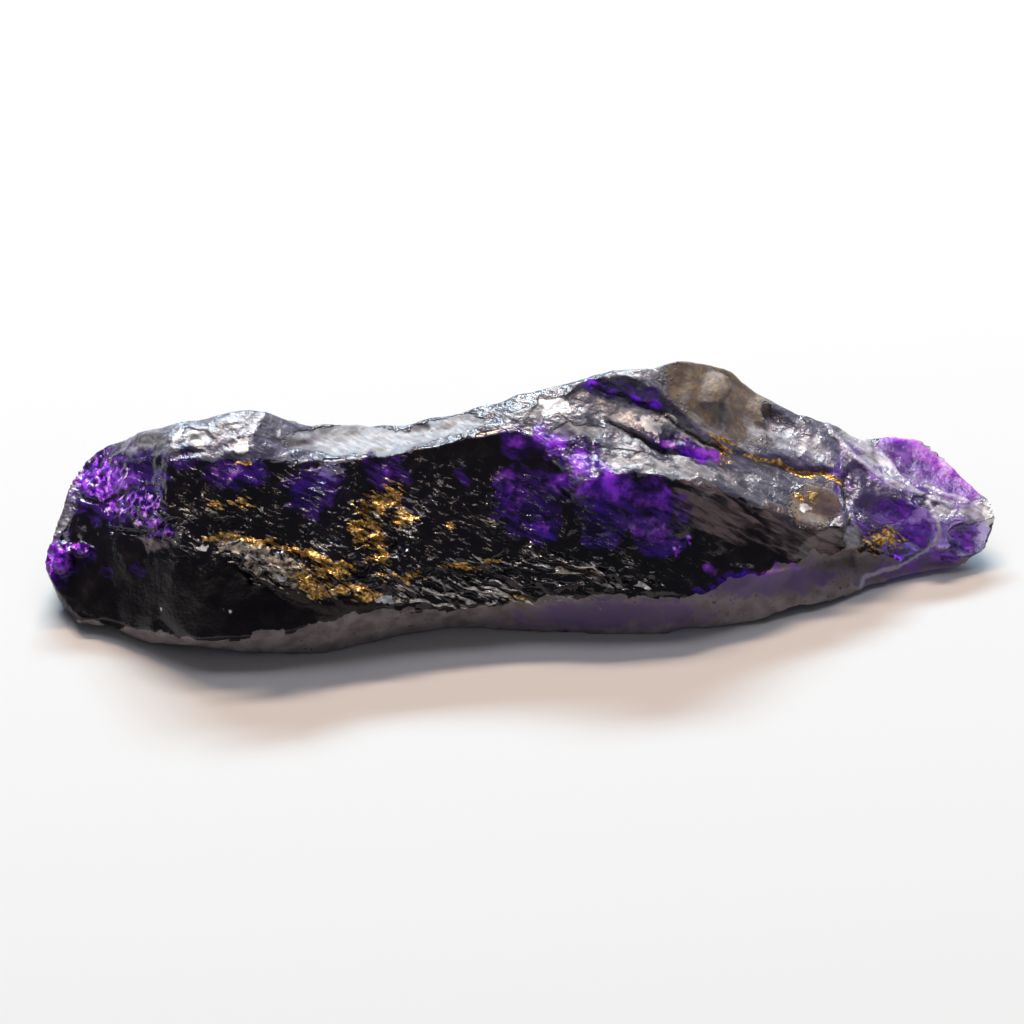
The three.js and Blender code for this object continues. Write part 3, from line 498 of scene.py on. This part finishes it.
def mark_regions(mesh):
    """Keep the share of every region in the mesh, for the material to read."""
    points, normals = vertex_array(mesh, "co"), vertex_array(mesh, "normal")
    regions = Regions(points, normals)
    hidden = regions.hidden
    clouds = sum(weight * wave(points, size, seed) for weight, size, seed in FAR_GRAINS)
    far = smooth(*FAR_EDGE, clouds) * hidden
    veins = smooth(*VEIN_EDGE, 1 - np.abs(wave(points, *VEINS))) * hidden
    faint = FAINT_GLOW * regions.patches(FAINT, 0.8)
    clear_end = hidden * smooth(*CLEAR_FROM, regions.ragged[:, 0])
    shares = {
        "violet": np.maximum(regions.patches(VIOLET, 0.6), far),
        "glow": np.max([regions.patches(GLOW, 0.8), faint, FAR_GLOW * far], axis=0),
        "amber": np.maximum(regions.patches(AMBER, 0.7), VEIN_SHARE * veins),
        "clear": np.maximum(regions.patches(CLEAR, 0.4), clear_end),
        "scaly": np.maximum(regions.patches(SCALY, 0.3), HIDDEN_SCALES * hidden),
        "wavy": regions.ripples() * regions.patches(WAVY),
        "top": (1 - regions.below(BROW)) * regions.facing,
        "rim": regions.below(RIM),
        "hidden": hidden,
    }
    for name, (lines, reach) in DRAWN_LINES.items():
        shares[name] = regions.lines(lines, reach)
    for name, (patches, edge) in DRAWN_PATCHES.items():
        shares[name] = regions.patches(patches, edge)
    for name, share in shares.items():
        attribute = mesh.attributes.new(name, "FLOAT", "POINT")
        attribute.data.foreach_set("value", share.astype(np.float32))


# ---- The stone's material ----------------------------------------------------------------------

IOR = 1.69                      # zoisite
ABSORPTION_COLOUR, ABSORPTION_DENSITY = (0.66, 0.25, 0.88, 1), 450
SCATTER_RADIUS, SCATTER_SCALE = (1.0, 0.4, 1.2), 4 * MM
VIOLET_SCATTER = 0.35
SHINE_FRONT, SHINE_TOP = (0.55, 0.53, 0.56), (0.80, 0.76, 0.76)
SHINE_MATT = (0.36, 0.32, 0.31)
METALLIC = 0.7                  # of the flashing and golden parts

# Even noise: size in mm, octaves, roughness.
GRAINS = {
    "fine": (0.30, 4.0, 0.55), "middle": (1.1, 4.0, 0.55), "broad": (3.5, 3.0, 0.55),
    "dust": (0.12, 2.0, 0.55), "clots": (0.6, 3.0, 0.65),
}
# Drawn-out noise: length and width in mm. It runs down to the right.
SPLINTERS = {"chips": (1.1, 0.26), "shards": (2.2, 0.5)}
SPLINTER_SLOPE = math.radians(27)
SPLINTER_NOISE = {"Scale": 1.0, "Detail": 3.0, "Roughness": 0.55, "Distortion": 0.4}
STRIPES = {"Scale": 4.5, "Detail": 3.0}

# How a region's edge is frayed: the grain, how strongly, and the shares at which the region
# starts and is full.
EDGES = {
    "violet": ("middle", 2.2, 0.25, 0.95), "glow": ("middle", 2.0, 0.1, 1.0),
    "froth": ("clots", 5.0, 0.78, 1.12), "rose": ("middle", 1.2, 0.25, 0.75),
    "amber": ("chips", 4.0, 0.70, 0.92), "crust_glints": ("chips", 5.0, 1.15, 1.3),
    "gilt": ("chips", 2.0, 0.45, 0.7), "ochre": ("fine", 1.5, 0.35, 0.65),
    "clear": ("fine", 1.0, 0.35, 0.65), "top": ("fine", 0.2, 0.4, 0.6),
    "rim": ("fine", 0.3, 0.4, 0.6), "pale": ("middle", 2.5, 0.3, 1.0),
    "satin": ("fine", 0.8, 0.35, 0.65), "grit": ("clots", 3.0, 0.5, 0.9),
    "umber": ("shards", 2.5, 0.3, 1.0), "smoke": ("fine", 1.0, 0.35, 0.65),
    "painted_highlight": ("fine", 2.0, 0.35, 0.6),
}
# Where a region is thinner than this, its edge is frayed less and less.
FRAYED_FROM = 0.3
PLAIN = ("seam", "crease", "matt", "scaly", "striated", "hidden")
# painted glints along the ripples start and are full at these shares of the ripples
RIPPLE_GLINT_EDGE = (0.42, 0.55)
CHIPPED_EDGE = (0.42, 0.56)
BRINK_BAND = ((0.56, 0.58), (0.63, 0.61))   # the painted glints on the edges of the chips lie between these
BRINK_GATE = (0.55, 0.62)

# Each shade runs from one colour to another where its grain rises between two levels.
SHADES = {
    "dark": ("middle", 0.45, 0.75, (0.003, 0.002, 0.005), (0.014, 0.010, 0.011)),
    "deep": ("shards", 0.40, 0.62, (0.012, 0.003, 0.055), (0.10, 0.022, 0.36)),
    # painted glow: bright violet where light shines through the stone
    "bright": ("middle", 0.40, 0.62, (0.08, 0.008, 0.34), (0.36, 0.06, 0.78)),
    # painted glow of the froth
    "sparks": ("clots", 0.50, 0.60, (0.12, 0.012, 0.48), (0.55, 0.10, 0.90)),
    # painted glow of the clear facet
    "pink": ("middle", 0.38, 0.64, (0.07, 0.025, 0.16), (0.23, 0.10, 0.34)),
    # gold flecks; the bright end is partly painted warm glints
    "gold": ("fine", 0.42, 0.60, (0.40, 0.17, 0.02), (1.0, 0.68, 0.24)),
    "earth": ("middle", 0.3, 0.7, (0.16, 0.13, 0.13), (0.30, 0.26, 0.25)),
    "honey": ("clots", 0.45, 0.65, (0.21, 0.165, 0.14), (0.38, 0.27, 0.16)),
    # painted sheen of the pale patches
    "painted_sheen": ("chips", 0.4, 0.6, (0.34, 0.33, 0.36), (0.60, 0.59, 0.62)),
    # painted sheen: the top is lighter grey where the lights above fall on it
    "top_sheen": ("shards", 0.35, 0.65, (0.10, 0.10, 0.15), (0.25, 0.25, 0.31)),
    "umbers": ("shards", 0.40, 0.60, (0.06, 0.045, 0.05), (0.17, 0.125, 0.13)),
    "grains": ("clots", 0.46, 0.62, (0.07, 0.052, 0.04), (0.56, 0.46, 0.37)),
}
# painted glints in the froth
GLINTS, GLINT_EDGE = (0.95, 0.72, 1.0), (0.61, 0.66)    # in the froth
DARK_SPECKS, SPECK_EDGE = (0.03, 0.025, 0.025), (0.36, 0.30)     # in the rim
# painted sheen of the smooth facets
SATIN_SHEEN = (0.24, 0.24, 0.275)
CLEAR_VIOLET = (0.50, 0.44, 0.66)
SMOKE_BLUE = (0.06, 0.05, 0.10)
RIM_VIOLET = (0.15, 0.10, 0.215)
# painted glints: pale metallic flecks on the crusty ledges and along the ripples
CRUST_GLINT = (0.75, 0.70, 0.66)
# painted glints on the edges of the chips
BRINK_GLINT = (0.80, 0.76, 0.74)
CREASE_PALE = (0.45, 0.41, 0.52)
# painted highlight colour, for the spots where the lights mirror in the stone
HIGHLIGHT_WHITE = (0.88, 0.88, 0.90)
# painted shade in the seams
SEAM_SHADE = (0.01, 0.006, 0.012)

SMOOTHEST, ROUGHEST = 0.05, 0.18    # roughness of the bare stone
# Heights of the bump, in mm.
CHIP_BUMP, CHIP_EDGE = 0.12, (0.54, 0.64)
TOP_BUMP, TOP_SHARD_BUMP, TOP_DUST_BUMP = 0.22, 0.10, 0.008
STRIPE_BUMP, MATT_BUMP, FLASH_BUMP = 0.05, 0.05, 0.10
FINE_BUMP, FINE_TOP_BUMP = 0.015, 0.07
QUIET_BUMP, SATIN_BUMP = 0.3, 0.2   # what is left of the top's bump there


class Sheet:
    """Small helpers that add shader nodes and join them."""

    def __init__(self, name):
        self.material = bpy.data.materials.new(name)
        self.material.use_nodes = True
        self.tree = self.material.node_tree
        self.shader = self.tree.nodes["Principled BSDF"]
        self.output = self.tree.nodes["Material Output"]

    def node(self, kind, settings=None, **inputs):
        made = self.tree.nodes.new("ShaderNode" + kind)
        for name, value in (settings or {}).items():
            setattr(made, name, value)
        for name, value in inputs.items():
            self.feed(made.inputs[name], value)
        return made

    def feed(self, socket, value):
        if isinstance(value, bpy.types.NodeSocket):
            self.tree.links.new(value, socket)
        else:
            socket.default_value = value

    def share(self, name):
        return self.node("Attribute", {"attribute_name": name}).outputs["Fac"]

    def math(self, operation, *values):
        made = self.node("Math", {"operation": operation})
        for socket, value in zip(made.inputs, values):
            self.feed(socket, value)
        return made.outputs[0]

    def times(self, first, *others):
        for other in others:
            first = self.math("MULTIPLY", first, other)
        return first

    def most(self, first, *others):
        for other in others:
            first = self.math("MAXIMUM", first, other)
        return first

    def ramp(self, value, low, high):
        made = self.node("MapRange", {"interpolation_type": "SMOOTHSTEP"}, Value=value)
        made.inputs["From Min"].default_value = low
        made.inputs["From Max"].default_value = high
        return made.outputs[0]

    def grain(self, where, size, detail, rough):
        """Fractal noise from 0 to 1, its lumps `size` mm across; `where` is in mm."""
        made = self.node(
            "TexNoise", Vector=where, Scale=1 / size, Detail=detail, Roughness=rough, Distortion=0.0
        )
        return made.outputs["Fac"]

    def along(self, where, direction):
        made = self.node("VectorMath", {"operation": "DOT_PRODUCT"}, Vector=where)
        made.inputs[1].default_value = tuple(direction)
        return made.outputs["Value"]

    def blend(self, share, first, second):
        """From one colour to another."""
        made = self.node("Mix", {"data_type": "RGBA"})
        self.feed(made.inputs[0], share)
        for socket, value in zip((made.inputs[6], made.inputs[7]), (first, second)):
            self.feed(socket, (*value, 1) if isinstance(value, tuple) else value)
        return made.outputs[2]

    def mix(self, share, first, second):
        """From one number to another."""
        made = self.node("Mix", {"data_type": "FLOAT"})
        for socket, value in zip(made.inputs[:1] + made.inputs[2:4], (share, first, second)):
            self.feed(socket, value)
        return made.outputs[0]


def add_grains(sheet, where):
    """The noises that the whole material shares, by name."""
    grains = {name: sheet.grain(where, *settings) for name, settings in GRAINS.items()}
    right = np.array([1.0, 0, 0])
    slope = SPLINTER_SLOPE
    drawn = [sheet.along(where, direction) for direction in (
        math.cos(slope) * right - math.sin(slope) * UP,
        math.sin(slope) * right + math.cos(slope) * UP,
        TO_VIEWER,
    )]
    for name, (length, width) in SPLINTERS.items():
        made = sheet.node("CombineXYZ")
        for socket, value, size in zip(made.inputs, drawn, (length, width, length)):
            sheet.feed(socket, sheet.math("DIVIDE", value, size))
        noisy = sheet.node("TexNoise", Vector=made.outputs[0], **SPLINTER_NOISE)
        grains[name] = noisy.outputs["Fac"]
    return grains


def add_parts(sheet, grains):
    """The share of every region, its edge frayed by the grain, and of what is made of them."""

    def frayed(name, grain, fray, low, high):
        share = sheet.share(name)
        fraying = sheet.times(
            sheet.math("SUBTRACT", grains[grain], 0.5), sheet.ramp(share, 0.0, FRAYED_FROM)
        )
        return sheet.ramp(sheet.math("MULTIPLY_ADD", fraying, fray, share), low, high)

    parts = {name: frayed(name, *edge) for name, edge in EDGES.items()}
    parts.update({name: sheet.share(name) for name in PLAIN})
    middle, chips = grains["middle"], grains["chips"]
    parts["wet"] = sheet.ramp(sheet.share("wavy"), *RIPPLE_GLINT_EDGE)
    parts["chipped"] = sheet.times(parts["scaly"], sheet.ramp(middle, *CHIPPED_EDGE))
    rising, falling = (sheet.ramp(chips, *edge) for edge in BRINK_BAND)
    parts["brink"] = sheet.times(rising, falling, parts["scaly"], sheet.ramp(middle, *BRINK_GATE))
    parts["golden"] = sheet.most(parts["amber"], parts["gilt"])
    edges = sheet.most(parts["crust_glints"], parts["brink"])
    parts["flashing"] = sheet.most(edges, sheet.most(parts["wet"], parts["golden"]))
    parts["lit"] = sheet.most(parts["glow"], parts["froth"], parts["rose"])
    return parts


def stone_colour(sheet, grains, parts):
    shades = {
        name: sheet.blend(sheet.ramp(grains[grain], low, high), first, second)
        for name, (grain, low, high, first, second) in SHADES.items()
    }
    sparks = sheet.blend(sheet.ramp(grains["clots"], *GLINT_EDGE), shades["sparks"], GLINTS)
    earth = sheet.blend(sheet.ramp(grains["fine"], *SPECK_EDGE), shades["earth"], DARK_SPECKS)
    rim = sheet.blend(parts["violet"], earth, RIM_VIOLET)
    crust_glints = sheet.most(parts["crust_glints"], parts["wet"])
    layers = (
        (parts["top"], shades["top_sheen"]), (parts["satin"], SATIN_SHEEN),
        (parts["umber"], shades["umbers"]), (parts["ochre"], shades["honey"]),
        (parts["clear"], CLEAR_VIOLET), (parts["pale"], shades["painted_sheen"]),
        (parts["smoke"], SMOKE_BLUE), (parts["violet"], shades["deep"]), (parts["rim"], rim),
        (parts["glow"], shades["bright"]), (parts["froth"], sparks),
        (parts["rose"], shades["pink"]), (parts["grit"], shades["grains"]), (crust_glints, CRUST_GLINT),
        (parts["brink"], BRINK_GLINT), (parts["crease"], CREASE_PALE),
        (parts["painted_highlight"], HIGHLIGHT_WHITE), (parts["seam"], SEAM_SHADE),
        (parts["golden"], shades["gold"]),
    )
    colour = shades["dark"]
    for share, shade in layers:
        colour = sheet.blend(share, colour, shade)
    return colour


def stone_through(sheet, parts):
    """How much light enters the stone; the dark body and the drawn marks, painted highlights,
    glints and shade among them, let none in.
    """
    marks = sheet.most(
        sheet.most(parts["grit"], parts["crust_glints"]), sheet.most(parts["crease"], parts["seam"]),
        parts["painted_highlight"], parts["wet"],
    )
    layers = (
        (parts["top"], 0.4), (parts["satin"], 0.1), (parts["ochre"], 0.4), (parts["clear"], 0.95),
        (parts["pale"], 0.3), (parts["smoke"], 0.3), (parts["violet"], 0.6), (parts["rim"], 0.05),
        (parts["lit"], 0.0), (parts["hidden"], 1.0), (marks, 0.0), (parts["golden"], 0.0),
    )
    through = 0.0
    for share, level in layers:
        through = sheet.mix(share, through, level)
    return through


def stone_roughness(sheet, grains, parts):
    layers = (
        (parts["pale"], 0.28), (parts["satin"], 0.5), (parts["matt"], 0.32), (parts["grit"], 0.35),
        (parts["ochre"], 0.5), (parts["rose"], 0.3), (parts["flashing"], 0.14),
        (parts["rim"], 0.5),
    )
    rough = sheet.mix(grains["broad"], SMOOTHEST, ROUGHEST)
    for share, level in layers:
        rough = sheet.mix(share, rough, level)
    return rough


def stone_bump(sheet, grains, parts, where):
    """Slanting chips on the dark front, crinkles on top, straight striations."""
    fine, middle, shards = grains["fine"], grains["middle"], grains["shards"]
    across = sheet.along(where, math.sqrt(0.5) * (np.array([1.0, 0, 0]) + UP))
    stripes = sheet.node("TexNoise", {"noise_dimensions": "1D"}, W=across, **STRIPES)
    quiet = sheet.most(parts["pale"], parts["ochre"])
    lively = sheet.times(
        parts["top"], sheet.mix(quiet, 1.0, QUIET_BUMP), sheet.mix(parts["satin"], 1.0, SATIN_BUMP)
    )
    heights = (
        (sheet.times(middle, lively), TOP_BUMP),
        (sheet.times(shards, lively), TOP_SHARD_BUMP),
        (sheet.times(stripes.outputs["Fac"], parts["striated"]), STRIPE_BUMP),
        (fine, sheet.mix(lively, FINE_BUMP, FINE_TOP_BUMP)),
        (sheet.times(fine, parts["matt"]), MATT_BUMP),
        (sheet.times(fine, parts["flashing"]), FLASH_BUMP),
        (sheet.times(grains["dust"], lively), TOP_DUST_BUMP),
    )
    steps = sheet.times(sheet.ramp(grains["chips"], *CHIP_EDGE), parts["chipped"])
    height = sheet.times(steps, CHIP_BUMP)
    for shape, size in heights:
        height = sheet.math("MULTIPLY_ADD", shape, size, height)
    return sheet.node("Bump", Height=height, Strength=1.0, Distance=MM).outputs[0]


def stone_material():
    sheet = Sheet("tanzanite")
    place = sheet.node("TexCoord").outputs["Object"]
    where = sheet.node("VectorMath", {"operation": "SCALE"}, Vector=place, Scale=1 / MM).outputs[0]
    grains = add_grains(sheet, where)
    parts = add_parts(sheet, grains)
    scatter = sheet.most(parts["lit"], sheet.times(parts["violet"], VIOLET_SCATTER))
    shine = sheet.blend(parts["top"], SHINE_FRONT, SHINE_TOP)
    dull = sheet.most(parts["matt"], sheet.most(parts["satin"], parts["rose"]))
    for name, value in {
        "Base Color": stone_colour(sheet, grains, parts),
        "Metallic": sheet.times(parts["flashing"], METALLIC),
        "Roughness": stone_roughness(sheet, grains, parts),
        "Transmission Weight": stone_through(sheet, parts),
        "Subsurface Weight": scatter,
        "Subsurface Radius": SCATTER_RADIUS,
        "Subsurface Scale": SCATTER_SCALE,
        "Normal": stone_bump(sheet, grains, parts, where),
        "Specular Tint": sheet.blend(dull, shine, SHINE_MATT),
        "IOR": IOR,
    }.items():
        sheet.feed(sheet.shader.inputs[name], value)
    absorption = sheet.node(
        "VolumeAbsorption", Color=ABSORPTION_COLOUR, Density=ABSORPTION_DENSITY
    )
    sheet.tree.links.new(absorption.outputs[0], sheet.output.inputs["Volume"])
    return sheet.material


stone = make_stone()
mark_regions(stone.data)
stone.data.materials.clear()
stone.data.materials.append(stone_material())

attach(stone, "root")
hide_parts(NODE)
